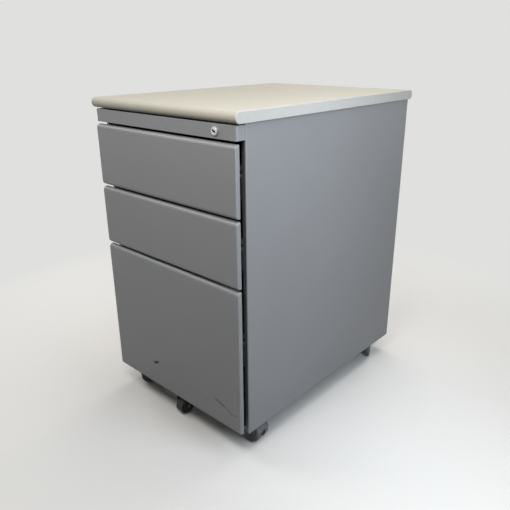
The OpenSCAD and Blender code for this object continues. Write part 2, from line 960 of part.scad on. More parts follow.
left_side_panel();
right_side_panel();
back_panel();
base_pan();
top_cross_rails();
runner_uprights();
top_board();
left_edge_band();
right_edge_band();
top_screws();
lock_rail();
lock_housing();
lock_plug();
lock_cam();
lock_bar();
lock_bar_guides();
box_cabinet_runners(UPPER);  // upper_cabinet_runners
box_cabinet_runners(MIDDLE);  // middle_cabinet_runners
file_cabinet_runners();
file_middle_runners();
box_ball_cages(UPPER);  // upper_ball_cages
box_ball_cages(MIDDLE);  // middle_ball_cages
file_outer_ball_cages();
file_inner_ball_cages();
drawer_front(UPPER);  // upper_front
tray(UPPER);  // upper_tray
box_drawer_runners(UPPER);  // upper_drawer_runners
lock_catch(box_catch_z(UPPER));  // upper_lock_catch
drawer_front(MIDDLE);  // middle_front
tray(MIDDLE);  // middle_tray
box_drawer_runners(MIDDLE);  // middle_drawer_runners
lock_catch(box_catch_z(MIDDLE));  // middle_lock_catch
drawer_front(FILE);  // file_front
tray(FILE);  // file_tray
file_drawer_runners();
lock_catch(file_catch_z);  // file_lock_catch
file_hanger_rails();
anti_tilt_bracket();
anti_tilt_axle();
anti_tilt_wheel();
caster_plates();
caster_stems();
caster_screws();
for (c = CASTERS, p = CASTER_PIECES)
    caster_piece(c, p);
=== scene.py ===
import json
import math

import bmesh
import bpy
from mathutils import Matrix, Vector


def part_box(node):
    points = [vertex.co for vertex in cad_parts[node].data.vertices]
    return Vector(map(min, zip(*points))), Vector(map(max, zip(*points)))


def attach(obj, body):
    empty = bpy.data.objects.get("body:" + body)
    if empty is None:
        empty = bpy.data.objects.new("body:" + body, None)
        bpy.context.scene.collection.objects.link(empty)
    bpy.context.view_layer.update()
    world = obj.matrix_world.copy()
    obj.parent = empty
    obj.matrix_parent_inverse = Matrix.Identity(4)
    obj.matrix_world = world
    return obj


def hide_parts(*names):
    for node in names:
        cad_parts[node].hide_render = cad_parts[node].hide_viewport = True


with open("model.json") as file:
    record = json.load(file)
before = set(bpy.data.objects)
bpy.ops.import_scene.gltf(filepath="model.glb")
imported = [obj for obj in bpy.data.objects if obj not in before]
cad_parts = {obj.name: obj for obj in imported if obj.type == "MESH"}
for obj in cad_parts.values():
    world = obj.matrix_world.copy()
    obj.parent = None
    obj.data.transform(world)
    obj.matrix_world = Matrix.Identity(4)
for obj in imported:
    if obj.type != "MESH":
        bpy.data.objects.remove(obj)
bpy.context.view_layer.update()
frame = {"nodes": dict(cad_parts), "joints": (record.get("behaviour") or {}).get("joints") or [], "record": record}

MM = 0.001
CLOSE = 1e-5
X, Y, Z = range(3)
SHARP_ANGLE = math.radians(40)
DRAWERS = ("upper", "middle", "file")
CASTERS = ("front_left", "front_right", "rear_left", "rear_right")

# Fronts, lock rail, side panels and edge bands
SHEET = 1.0 * MM
FRONT_EDGE_R = 8.0 * MM
FRONT_CORNER_R = 2.5 * MM
FRONT_LIP = 8.0 * MM
RAIL_CORNER_R = 4.5 * MM
RAIL_EDGE_R = 0.7 * MM
RAIL_DROP = 1.0 * MM
RAIL_SET_BACK = 2.5 * MM
SIDE_BEND_R = 2.5 * MM
SIDE_LIP = 9.0 * MM
BAND_EDGE_R = 0.9 * MM
WELD_COUNT = 8
WELD_INSET = 7.5 * MM
WELD_MARGIN = 30.0 * MM

# Trays
TRAY_LIFT = 12.0 * MM
TRAY_BEND_R = 2.0 * MM
TRAY_HEIGHT = {"upper": 85 * MM, "middle": 85 * MM, "file": 240 * MM}
SIDE_HEM = 8.0 * MM
SIDE_HEM_THICK = 2.0 * SHEET
SIDE_HEM_RISE = 0.4 * MM
SIDE_HEM_EASE = 0.45 * MM
BACK_HEM = 4.0 * MM
BACK_HEM_THICK = 1.4 * SHEET
BACK_HEM_RISE = 0.2 * MM
BACK_HEM_EASE = 0.4 * MM
HEM_END_GAP = 1.5 * MM
FRONT_WALL_CORNER_R = 5.0 * MM
FRONT_WALL_EASE = 0.3 * MM

# Lock
RIM_STAND = 1.2 * MM
PLUG_R = 4.8 * MM
PLUG_FLAT_R = 4.45 * MM
PLUG_EASE = 0.25 * MM
PLUG_SIDES = 48
KEY_SLOT_TURN = math.radians(27)
KEY_SLOT_L = 8.0 * MM
KEY_SLOT_W = 3.3 * MM
KEY_SLOT_DEPTH = 5.0 * MM

# Casters and the anti-tilt wheel
CASTER_TRAIL = 16.0 * MM
WHEEL_R = 20.0 * MM
WHEEL_INNER = 6.5 * MM
CHEEK = 2.0 * MM
CHEEK_GAP = 0.5 * MM
CHEEK_EASE = 0.5 * MM
FOOT_EASE = 0.6 * MM
FOOT_SCREW_INSET = 3.6 * MM
FOOT_SCREW_DROP = 0.8 * MM

# Camera as fitted to the photograph: pixels, degrees and metres
PHOTO_SIDE = 510
PHOTO_MIDDLE = PHOTO_SIDE / 2
FOCAL_PIXELS = 542.12
OPTICAL_CENTRE = (258.43, 254.66)
SENSOR = 36.0
CAMERA_TURN = {"azimuth": 42.24, "elevation": 21.11, "roll": -0.26}
CAMERA_PLACE = (0.79154, -0.88374, 0.75708)


def linear(red, green, blue):
    """Scene colour of an sRGB colour given in 0 to 255."""
    def channel(value):
        value /= 255
        return value / 12.92 if value <= 0.04045 else ((value + 0.055) / 1.055) ** 2.4
    return (channel(red), channel(green), channel(blue), 1.0)


SILVER = linear(137, 138, 141)
SILVER_FLECK = linear(163, 165, 169)
SILVER_RUBBED = linear(176, 178, 181)
SCUFF_BLACK = linear(14, 14, 13)
SCUFF_WANDER = 6.0 * MM
SCUFF_WANDER_SCALE = 160.0
COAT_METAL = 0.2
FLECK_SHARE = 0.35
RUB_SHARE = 0.5
FRONT_RUB = 0.02
# Painted shade: the lip face in the finger recess gets the coat at this share of its colour, standing in for the
# shade the fronts cast there.
RECESS_PAINTED_SHADE_TONE = 0.42
LAMINATE = linear(187, 183, 170)
LAMINATE_FLECK = linear(175, 170, 158)
SPECK_SHARE = 0.5
BAND_SILVER = linear(188, 187, 184)
BAND_RUBBED = linear(204, 203, 200)
CHROME = linear(220, 220, 219)
ZINC = linear(176, 178, 180)
RUNNER_STEEL = linear(168, 170, 172)
BALL_STEEL = linear(190, 190, 190)
PLATE_DARK = 0.86
PLATE_STREAKS = (900.0, 12.0, 900.0)
CASTER_GREY = linear(96, 97, 99)
CASTER_RUBBED = linear(124, 125, 127)
NYLON_BLACK = linear(30, 30, 31)
NYLON_RUBBED = linear(52, 52, 53)
# Painted shade inside the key slot: near-black colours stand in for the shade deep in the slot, with slightly
# paler patches.
KEYWAY_PAINTED_SHADE = linear(12, 12, 12)
KEYWAY_PAINTED_SHADE_PALER = linear(20, 20, 20)
MOULDED_RUB_SHARE = 0.45

FLOOR_PALE = linear(228, 227, 225)
FLOOR_BOUNCE = linear(84, 83, 81)
FLOOR_REACH = 4.0
FLOOR_FADE = (0.42, 1.05)
BACKDROP = linear(224, 224, 222)
AIR = (0.115, 0.115, 0.113, 1.0)
DAYLIGHT = (0.84, 0.92, 1.0)
WHITE_LIGHT = (1.0, 0.985, 0.96)
WALL_LIGHT = (1.0, 0.98, 0.95)
WARM_LIGHT = (1.0, 0.96, 0.9)
WARM_NEAR_LIGHT = (1.0, 0.965, 0.92)

# Soft lamps: name, place, what it faces, width and height, watts, colour
LAMPS = (
    ("right_window", (0.72, -0.13, 0.66), (0.195, -0.12, 0.36), (0.28, 0.95), 4.5, DAYLIGHT),
    ("front_ceiling", (0.3, -0.75, 1.16), (0.08, -0.27, 0.56), (0.5, 0.3), 5.3, WHITE_LIGHT),
    ("left_ceiling", (-1.06, -0.78, 1.55), (0, -0.28, 0.45), (0.6, 0.6), 6.5, WHITE_LIGHT),
    ("rear_ceiling", (-0.1, 0.6, 2.2), (0, 0.1, 0.6), (1.6, 1.0), 14, WARM_LIGHT),
    ("rear_near", (-0.04, 0.6, 1.2), (-0.02, 0.18, 0.66), (0.6, 0.35), 1.7, WARM_NEAR_LIGHT),
    ("left_wall", (-1.6, 0.05, 0.42), (-0.19, 0, 0.36), (1.0, 0.4), 9, WALL_LIGHT),
    ("rear_wall", (-0.15, 1.9, 0.45), (0, 0.27, 0.36), (1.2, 0.4), 14, WALL_LIGHT),
)

# Scuffs of the file front in mm: from (x, z), to (x, z), width; then how broken up and how deep
FILE_SCUFFS = (
    ((130.0, 108.5), (148.5, 104.0), 4.2, 0.36, 0.6),
    ((148.5, 104.0), (173.2, 92.4), 3.2, 0.36, 0.55),
    ((181.2, 95.1), (182.4, 94.9), 4.0, 0.2, 0.4),
    ((102.2, 95.2), (102.8, 95.0), 2.8, 0.2, 0.35),
    ((-63.6, 112.0), (-52.0, 116.8), 4.6, -0.5, 1.0),
)


# Shader parts

FLOAT = "NodeSocketFloat"
VECTOR = "NodeSocketVector"


def add(tree, kind, inputs=None, **settings):
    """New node; each input gets a value or is linked to a socket."""
    node = tree.nodes.new(kind)
    for name, value in settings.items():
        setattr(node, name, value)
    for name, value in (inputs or {}).items():
        if isinstance(value, bpy.types.NodeSocket):
            tree.links.new(value, node.inputs[name])
        else:
            node.inputs[name].default_value = value
    return node


def math_node(tree, operation, first, second=0.0, clamp=False):
    node = add(tree, "ShaderNodeMath", {0: first, 1: second}, operation=operation, use_clamp=clamp)
    return node.outputs[0]


def vector_node(tree, operation, inputs, output="Vector"):
    return add(tree, "ShaderNodeVectorMath", inputs, operation=operation).outputs[output]


def mix_colour(tree, factor, first, second):
    return add(tree, "ShaderNodeMix", {0: factor, 6: first, 7: second}, data_type="RGBA").outputs[2]


def ramp(tree, value, low, high):
    """0 below low, 1 above high."""
    settings = {"Value": value, "From Min": low, "From Max": high}
    return add(tree, "ShaderNodeMapRange", settings).outputs["Result"]


def spread(tree, value, low, high):
    """Carries 0 to 1 over to low to high."""
    settings = {"Value": value, "To Min": low, "To Max": high}
    return add(tree, "ShaderNodeMapRange", settings).outputs["Result"]


def object_place(tree):
    return add(tree, "ShaderNodeTexCoord").outputs["Object"]


def noise(tree, scale, detail=2.0, rough=0.5, place=None):
    if place is None:
        place = object_place(tree)
    settings = {"Vector": place, "Scale": scale, "Detail": detail, "Roughness": rough}
    return add(tree, "ShaderNodeTexNoise", settings).outputs["Fac"]


def clouded(tree, colour, cloud, low, high):
    """Colour made darker and lighter by a slow cloud."""
    return vector_node(tree, "SCALE", {0: colour, "Scale": spread(tree, cloud, low, high)})


def bump(tree, height, strength, distance):
    settings = {"Height": height, "Strength": strength, "Distance": distance}
    return add(tree, "ShaderNodeBump", settings).outputs["Normal"]


def shader_group(name, inputs, outputs):
    tree = bpy.data.node_groups.new(name, "ShaderNodeTree")
    for socket, kind in inputs:
        tree.interface.new_socket(socket, in_out="INPUT", socket_type=kind)
    for socket, kind in outputs:
        tree.interface.new_socket(socket, in_out="OUTPUT", socket_type=kind)
    return tree, tree.nodes.new("NodeGroupInput"), tree.nodes.new("NodeGroupOutput")


def group_node(tree, group, inputs=None):
    return add(tree, "ShaderNodeGroup", inputs, node_tree=group).outputs


def coat_grain_group():
    """Orange peel, fine flecks and slow clouding of a sprayed coat."""
    outputs = [("Height", FLOAT), ("Fleck", FLOAT), ("Cloud", FLOAT)]
    tree, _, out = shader_group("coat_grain", [], outputs)
    peel = noise(tree, scale=900, rough=0.55)
    fleck = ramp(tree, noise(tree, scale=2600, detail=1.0), low=0.56, high=0.72)
    cloud = noise(tree, scale=7, detail=3.0, rough=0.55)
    for name, socket in (("Height", peel), ("Fleck", fleck), ("Cloud", cloud)):
        tree.links.new(socket, out.inputs[name])
    return tree


def edge_rub_group():
    """Places on the bends where the coat has rubbed thin, read from the piece's bend attribute."""
    tree, source, out = shader_group("edge_rub", [("Amount", FLOAT)], [("Mask", FLOAT)])
    bend = add(tree, "ShaderNodeAttribute", attribute_name="bend").outputs["Fac"]
    patches = noise(tree, scale=55, detail=4.0, rough=0.7)
    edge = ramp(tree, bend, low=0.55, high=1.0)
    raised = math_node(tree, "ADD", patches, source.outputs["Amount"])
    mask = math_node(tree, "MULTIPLY", edge, ramp(tree, raised, low=0.66, high=0.74), clamp=True)
    tree.links.new(mask, out.inputs["Mask"])
    return tree


def scuff_stroke_group():
    """Broken dark stroke between two points of the front, as a hard corner leaves on a coat."""
    inputs = [("From", VECTOR), ("To", VECTOR), ("Width", FLOAT), ("Break", FLOAT), ("Depth", FLOAT)]
    tree, source, out = shader_group("scuff_stroke", inputs, [("Mask", FLOAT)])
    given = source.outputs
    place = object_place(tree)
    settings = {"Vector": place, "Scale": SCUFF_WANDER_SCALE, "Detail": 2.0}
    wander = add(tree, "ShaderNodeTexNoise", settings).outputs["Color"]
    wander = vector_node(tree, "SUBTRACT", {0: wander, 1: (0.5, 0.5, 0.5)})
    wander = vector_node(tree, "SCALE", {0: wander, "Scale": SCUFF_WANDER})
    place = vector_node(tree, "ADD", {0: place, 1: wander})
    stretch = vector_node(tree, "SUBTRACT", {0: given["To"], 1: given["From"]})
    offset = vector_node(tree, "SUBTRACT", {0: place, 1: given["From"]})
    reach = vector_node(tree, "DOT_PRODUCT", {0: offset, 1: stretch}, "Value")
    whole = vector_node(tree, "DOT_PRODUCT", {0: stretch, 1: stretch}, "Value")
    share = math_node(tree, "DIVIDE", reach, whole, clamp=True)
    nearest = vector_node(tree, "SCALE", {0: stretch, "Scale": share})
    aside = vector_node(tree, "SUBTRACT", {0: offset, 1: nearest})
    gap = vector_node(tree, "LENGTH", {0: aside}, "Value")
    stroke = math_node(tree, "SUBTRACT", 1.0, math_node(tree, "DIVIDE", gap, given["Width"]), clamp=True)
    whole_bits = math_node(tree, "SUBTRACT", noise(tree, scale=210, detail=3.0, rough=0.6), given["Break"])
    bits = ramp(tree, whole_bits, low=0.0, high=0.12)
    mask = math_node(tree, "MULTIPLY", ramp(tree, stroke, low=0.0, high=0.7), bits, clamp=True)
    tree.links.new(math_node(tree, "MULTIPLY", mask, given["Depth"]), out.inputs["Mask"])
    return tree


COAT_GRAIN = coat_grain_group()
EDGE_RUB = edge_rub_group()
SCUFF_STROKE = scuff_stroke_group()


def new_material(name):
    material = bpy.data.materials.new(name)
    material.use_nodes = True
    tree = material.node_tree
    return material, tree, tree.nodes["Principled BSDF"]


def wire(tree, shader, links, **constants):
    for name, socket in links.items():
        tree.links.new(socket, shader.inputs[name])
    for name, value in constants.items():
        shader.inputs[name.replace("_", " ")].default_value = value


def silver_coat(name, rub=0.0, scuffs=(), tone=1.0):
    """Satin silver powder coat; each scuff is the inputs of a stroke, and a tone under 1 darkens the coat as
    painted shade.
    """
    material, tree, shader = new_material(name)
    grain = group_node(tree, COAT_GRAIN)
    flecks = math_node(tree, "MULTIPLY", grain["Fleck"], FLECK_SHARE)
    colour = mix_colour(tree, flecks, SILVER, SILVER_FLECK)
    # A tone under 1 darkens the whole coat as painted shade.
    colour = clouded(tree, colour, grain["Cloud"], low=0.94 * tone, high=1.05 * tone)
    worn = math_node(tree, "MULTIPLY", group_node(tree, EDGE_RUB, {"Amount": rub})["Mask"], RUB_SHARE)
    colour = mix_colour(tree, worn, colour, SILVER_RUBBED)
    metal = COAT_METAL
    for scuff in scuffs:
        mark = group_node(tree, SCUFF_STROKE, scuff)["Mask"]
        colour = mix_colour(tree, mark, colour, SCUFF_BLACK)
        metal = math_node(tree, "MAXIMUM", mark, metal)
    rough = spread(tree, grain["Cloud"], low=0.4, high=0.52)
    normal = bump(tree, grain["Height"], strength=0.12, distance=0.4 * MM)
    wire(tree, shader, {"Base Color": colour, "Roughness": rough, "Normal": normal}, Metallic=COAT_METAL)
    if scuffs:
        tree.links.new(metal, shader.inputs["Metallic"])
    return material


def file_scuffs():
    """Stroke inputs of the scuffs, set on the plane of the file front."""
    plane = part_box("file_front")[0].y
    strokes = []
    for start, end, width, gaps, depth in FILE_SCUFFS:
        ends = [(x * MM, plane, z * MM) for x, z in (start, end)]
        strokes.append({"From": ends[0], "To": ends[1], "Width": width * MM, "Break": gaps, "Depth": depth})
    return strokes


def laminate(name):
    """Pale laminate with fine specks and a slow cloud."""
    material, tree, shader = new_material(name)
    speck = ramp(tree, noise(tree, scale=700, detail=3.0, rough=0.6), low=0.42, high=0.68)
    cloud = noise(tree, scale=9)
    colour = mix_colour(tree, math_node(tree, "MULTIPLY", speck, SPECK_SHARE), LAMINATE, LAMINATE_FLECK)
    colour = clouded(tree, colour, cloud, low=0.91, high=0.98)
    rough = spread(tree, cloud, low=0.5, high=0.6)
    normal = bump(tree, speck, strength=0.08, distance=0.2 * MM)
    links = {"Base Color": colour, "Roughness": rough, "Normal": normal}
    wire(tree, shader, links, Specular_IOR_Level=0.35)
    return material


def moulded(name, colour, lighter, rough=0.5, shine=0.5):
    """Moulded plastic with a fine spark texture and paler rubbed places."""
    material, tree, shader = new_material(name)
    spark = noise(tree, scale=1400)
    rubbed = ramp(tree, noise(tree, scale=60, detail=4.0, rough=0.65), low=0.5, high=0.75)
    shade = mix_colour(tree, math_node(tree, "MULTIPLY", rubbed, MOULDED_RUB_SHARE), colour, lighter)
    roughness = spread(tree, spark, low=rough - 0.06, high=rough + 0.1)
    normal = bump(tree, spark, strength=0.15, distance=0.3 * MM)
    links = {"Base Color": shade, "Roughness": roughness, "Normal": normal}
    wire(tree, shader, links, Specular_IOR_Level=shine)
    return material


def plated(name, colour, rough, streak, metal=1.0):
    """Plated or polished steel with fine drawn streaks along its length."""
    material, tree, shader = new_material(name)
    stretched = {"Vector": object_place(tree), "Scale": PLATE_STREAKS}
    place = add(tree, "ShaderNodeMapping", stretched).outputs["Vector"]
    lines = noise(tree, scale=1.0, detail=3.0, rough=0.6, place=place)
    cloud = ramp(tree, noise(tree, scale=40, detail=3.0), low=0.35, high=0.75)
    dark = tuple(PLATE_DARK * c for c in colour[:3]) + (1.0,)
    shade = mix_colour(tree, cloud, colour, dark)
    roughness = spread(tree, lines, low=rough - streak, high=rough + streak)
    normal = bump(tree, lines, strength=0.06, distance=0.2 * MM)
    links = {"Base Color": shade, "Roughness": roughness, "Normal": normal}
    wire(tree, shader, links, Metallic=metal)
    return material


# Mesh parts

def near(a, b):
    return abs(a - b) < CLOSE


def in_plane(item, axis, value):
    """Whether an edge or a face lies in the plane where an axis has a value."""
    return all(near(v.co[axis], value) for v in item.verts)


def edges_in(bm, axis, value):
    return [e for e in bm.edges if in_plane(e, axis, value)]


def faces_in(bm, axis, value):
    return [f for f in bm.faces if in_plane(f, axis, value)]


def across(edge, axis):
    """Whether an edge keeps one value of an axis from end to end."""
    return near(edge.verts[0].co[axis], edge.verts[1].co[axis])


def rim_edges(bm, axis, value, back):
    """Edges in a plane, without the one at the back."""
    return [e for e in edges_in(bm, axis, value) if not in_plane(e, Y, back)]


def block(low, high):
    bm = bmesh.new()
    size = Vector(high) - Vector(low)
    middle = (Vector(high) + Vector(low)) / 2
    bmesh.ops.create_cube(bm, size=1.0, matrix=Matrix.LocRotScale(middle, None, size))
    return bm


def bevelled(bm, edges, radius, segments):
    return bmesh.ops.bevel(bm, geom=edges, offset=radius, offset_type="OFFSET", affect="EDGES",
                           segments=segments, profile=0.5, material=-1, clamp_overlap=True)


def round_edges(bm, edges, radius, segments):
    """Rounds the edges and marks the middle of each rounding in the bend attribute."""
    bend = bm.verts.layers.float.get("bend") or bm.verts.layers.float.new("bend")
    made = bevelled(bm, edges, radius, segments)
    bent = set(made["faces"])
    for vert in made["verts"]:
        vert[bend] = 1.0 if bent.issuperset(vert.link_faces) else 0.0


def open_side(bm, axis, value):
    bmesh.ops.delete(bm, geom=faces_in(bm, axis, value), context="FACES_ONLY")


def finish_piece(name, bm, body, material, replaces, wall=0.0):
    """Makes the object of a piece, thickens an open sheet, and says what it rides on and replaces."""
    bmesh.ops.recalc_face_normals(bm, faces=bm.faces[:])
    mesh = bpy.data.meshes.new(name)
    bm.to_mesh(mesh)
    bm.free()
    mesh.shade_smooth()
    mesh.set_sharp_from_angle(angle=SHARP_ANGLE)
    mesh.materials.append(material)
    piece = bpy.data.objects.new(name, mesh)
    bpy.context.scene.collection.objects.link(piece)
    if wall:
        shell = piece.modifiers.new("sheet", "SOLIDIFY")
        shell.thickness = wall
        shell.offset = -1.0
    shading = piece.modifiers.new("even_shading", "WEIGHTED_NORMAL")
    shading.keep_sharp = True
    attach(piece, body)
    if replaces:
        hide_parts(*replaces)
    return piece


def second_finish(piece, material, test):
    """Gives the faces whose corners all pass the test another material."""
    mesh = piece.data
    mesh.materials.append(material)
    for polygon in mesh.polygons:
        if all(test(mesh.vertices[v].co) for v in polygon.vertices):
            polygon.material_index = 1


def spun(profile, steps=48):
    """Solid turned about Z from (radius, height) points; an end off the axis is joined to the start."""
    bm = bmesh.new()
    verts = [bm.verts.new((r, 0, h)) for r, h in profile]
    edges = [bm.edges.new(pair) for pair in zip(verts, verts[1:])]
    if profile[0][0] > 0 and profile[-1][0] > 0:
        edges.append(bm.edges.new((verts[-1], verts[0])))
    bmesh.ops.spin(bm, geom=verts + edges, cent=(0, 0, 0), axis=(0, 0, 1), angle=2 * math.pi, steps=steps,
                   use_merge=True)
    poles = [v for v in bm.verts if math.hypot(v.co.x, v.co.y) < CLOSE]
    bmesh.ops.remove_doubles(bm, verts=poles, dist=CLOSE)
    bmesh.ops.recalc_face_normals(bm, faces=bm.faces[:])
    return bm


def swept(section, start, sweep, steps):
    """Part turn in degrees of a closed (x, radius) section about X, its ends closed; 0 is at +Y."""
    bm = bmesh.new()
    turn = Matrix.Rotation(math.radians(start), 3, "X")
    face = bm.faces.new([bm.verts.new(turn @ Vector((x, r, 0))) for x, r in section])
    geom = [face] + face.edges[:] + face.verts[:]
    bmesh.ops.spin(bm, geom=geom, cent=(0, 0, 0), axis=(1, 0, 0), angle=math.radians(sweep), steps=steps)
    bmesh.ops.recalc_face_normals(bm, faces=bm.faces[:])
    return bm


def cut_sheet(outline, thickness, edge_r):
    """Plate in the YZ plane from an outline, its edges eased, its middle at x = 0."""
    bm = bmesh.new()
    face = bm.faces.new([bm.verts.new((-thickness / 2, y, z)) for y, z in outline])
    lifted = bmesh.ops.extrude_face_region(bm, geom=[face])
    moved = [v for v in lifted["geom"] if isinstance(v, bmesh.types.BMVert)]
    bmesh.ops.translate(bm, vec=(thickness, 0, 0), verts=moved)
    bevelled(bm, [e for e in bm.edges if across(e, X)], edge_r, segments=2)
    return bm


def eased_block(low, high, edge_r):
    bm = block(low, high)
    bevelled(bm, bm.edges[:], edge_r, segments=3)
    return bm


def placed(bm, matrix):
    bmesh.ops.transform(bm, matrix=matrix, verts=bm.verts)
    return bm


def joined(*parts):
    whole = bmesh.new()
    for part in parts:
        mesh = bpy.data.meshes.new("part")
        part.to_mesh(mesh)
        part.free()
        whole.from_mesh(mesh)
        bpy.data.meshes.remove(mesh)
    return whole


def along(place, direction):
    """Matrix that puts local Z along a direction from a place."""
    return Matrix.Translation(place) @ Vector(direction).to_track_quat("Z", "Y").to_matrix().to_4x4()


def arc(centre, radius, start, end, count):
    """Points of an arc in degrees, as pairs."""
    angles = [math.radians(start + (end - start) * i / (count - 1)) for i in range(count)]
    return [(centre[0] + radius * math.cos(a), centre[1] + radius * math.sin(a)) for a in angles]


def mirrored(points):
    """The points in reverse, on the other side of the first axis."""
    return [(-a, b) for a, b in reversed(points)]


def in_mm(points):
    return [(a * MM, b * MM) for a, b in points]


def joint_place(name):
    return next(j for j in frame["joints"] if j["name"] == name)["pos_m"]


# Cabinet

def drawer_front(name, material):
    """Folded front: soft level edges, tighter upright ones, and a lip turned in round the open back."""
    low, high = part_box(f"{name}_front")
    bm = block(low, high)
    back = faces_in(bm, Y, high.y)
    bmesh.ops.inset_region(bm, faces=back, thickness=FRONT_LIP)
    bmesh.ops.delete(bm, geom=back, context="FACES_ONLY")
    round_edges(bm, [e for e in edges_in(bm, Y, low.y) if across(e, Z)], FRONT_EDGE_R, segments=8)
    for end in (low.x, high.x):
        round_edges(bm, rim_edges(bm, X, end, high.y), FRONT_CORNER_R, segments=5)
    finish_piece(f"{name}_front_pan", bm, f"{name}_drawer", material,
                 [f"{name}_front"], SHEET)


def lock_rail(material):
    """Channel under the top, open at the back."""
    low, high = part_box("lock_rail")
    high.z -= RAIL_DROP
    low.y += RAIL_SET_BACK
    bm = block(low, high)
    round_edges(bm, [e for e in edges_in(bm, Y, low.y) if across(e, X)], RAIL_CORNER_R, segments=8)
    for level in (low.z, high.z):
        round_edges(bm, rim_edges(bm, Z, level, high.y), RAIL_EDGE_R, segments=5)
    open_side(bm, Y, high.y)
    finish_piece("lock_rail_channel", bm, "cabinet", material, ["lock_rail"], SHEET)


def side_panel(side, material, recess_shade_material):
    """Panel with bent uprights and a narrow front lip, whose face behind the finger gap takes a darkened coat as
    painted shade of the recess.
    """
    low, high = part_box(f"{side}_side_panel")
    outer, inner = (high.x, low.x) if side == "right" else (low.x, high.x)
    bm = block(low, high)
    round_edges(bm, [e for e in edges_in(bm, X, outer) if not across(e, Z)], SIDE_BEND_R, segments=6)
    open_side(bm, X, inner)
    open_side(bm, Z, low.z)
    lip = [v for v in bm.verts if near(v.co.x, inner) and near(v.co.y, low.y)]
    shift = (outer - inner) * (1 - SIDE_LIP / (high.x - low.x))
    bmesh.ops.translate(bm, vec=(shift, 0, 0), verts=lip)
    sheet = finish_piece(f"{side}_side_sheet", bm, "cabinet", material,
                         [f"{side}_side_panel"], SHEET)
    # Painted shade: the lip face behind the finger gap takes the darkened coat.
    second_finish(sheet, recess_shade_material, lambda co: near(co.y, low.y))


def nosed_board(low, high):
    """Board along X with full-round front and rear noses."""
    bm = block(low, high)
    long_edges = [e for e in bm.edges if not across(e, X)]
    bevelled(bm, long_edges, (high.z - low.z) / 2 - CLOSE, segments=14)
    bmesh.ops.remove_doubles(bm, verts=bm.verts, dist=3 * CLOSE)
    return bm


def top_board(material):
    bm = nosed_board(*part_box("top_board"))
    finish_piece("top_laminate", bm, "cabinet", material, ["top_board"])


def edge_band(side, material):
    """Strip on an end of the top, its outer edges eased."""
    low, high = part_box(f"{side}_edge_band")
    bm = nosed_board(low, high)
    bevelled(bm, edges_in(bm, X, high.x if side == "right" else low.x), BAND_EDGE_R, segments=4)
    finish_piece(f"{side}_edge_strip", bm, "cabinet", material, [f"{side}_edge_band"])


def weld_marks(material):
    """Shallow marks of the spot welds that hold the rear flanges to the back."""
    ring = in_mm([(0, -0.05), (1.5, -0.02), (1.9, 0.1), (2.3, 0.16), (2.7, 0.08), (3.0, -0.05)])
    parts = []
    for side, sign in (("left", -1), ("right", 1)):
        low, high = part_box(f"{side}_side_panel")
        x = (high.x if sign > 0 else low.x) - sign * WELD_INSET
        span = high.z - low.z - 2 * WELD_MARGIN
        for i in range(WELD_COUNT):
            z = low.z + WELD_MARGIN + span * i / (WELD_COUNT - 1)
            parts.append(placed(spun(ring, steps=24), along((x, high.y, z), (0, 1, 0))))
    finish_piece("rear_weld_marks", joined(*parts), "cabinet", material, [])


# Trays

def drawer_tray(name, height, material):
    """Folded tub with bent corners and doubled hems on its sides, and the taller wall behind the front."""
    low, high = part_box(f"{name}_tray")
    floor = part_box(f"{name}_front")[0].z + TRAY_LIFT
    rim = floor + height
    bm = block((low.x, low.y, floor), (high.x, high.y, rim))
    bends = edges_in(bm, Z, floor) + [e for e in bm.edges if not across(e, Z)]
    bevelled(bm, bends, TRAY_BEND_R, segments=4)
    open_side(bm, Z, rim)
    finish_piece(f"{name}_tray_tub", bm, f"{name}_drawer", material,
                 [f"{name}_tray"], SHEET)
    parts = []
    for left, right in ((low.x, low.x + SIDE_HEM_THICK), (high.x - SIDE_HEM_THICK, high.x)):
        parts.append(eased_block((left, low.y + HEM_END_GAP, rim - SIDE_HEM),
                                 (right, high.y - HEM_END_GAP, rim + SIDE_HEM_RISE), SIDE_HEM_EASE))
    parts.append(eased_block((low.x + HEM_END_GAP, high.y - BACK_HEM_THICK, rim - BACK_HEM),
                             (high.x - HEM_END_GAP, high.y, rim + BACK_HEM_RISE), BACK_HEM_EASE))
    r = FRONT_WALL_CORNER_R
    left, right, bottom, top = low.x + r, high.x - r, low.z + r, high.z - r
    corners = ((right, top), (left, top), (left, bottom), (right, bottom))
    outline = []
    for quarter, centre in enumerate(corners):
        outline += arc(centre, r, 90 * quarter, 90 * quarter + 90, 6)
    wall = placed(cut_sheet(outline, SHEET, FRONT_WALL_EASE), Matrix.Rotation(math.radians(-90), 4, "Z"))
    parts.append(placed(wall, Matrix.Translation((0, low.y + SHEET / 2, 0))))
    finish_piece(f"{name}_tray_walls", joined(*parts), f"{name}_drawer", material, [])


# Lock

def lock_rim(material):
    """Rim with a rounded edge and a stepped seat, standing out of the rail."""
    low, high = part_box("lock_housing")
    centre = joint_place("lock_turn")
    length = (high.y - low.y) / MM
    stand = (RIM_STAND + RAIL_SET_BACK) / MM
    profile = [(4.85, length), (4.85, 0.5), (5.1, 0.2), (5.4, 0.12), (5.9, 0.0)]
    profile += arc((5.95, 0.9), 0.9, -90, 0, 6) + [(6.85, stand), (6.5, stand), (6.5, length)]
    bm = placed(spun(in_mm(profile), steps=64), along((centre[X], low.y, centre[Z]), (0, 1, 0)))
    finish_piece("lock_rim", bm, "cabinet", material, ["lock_housing"])


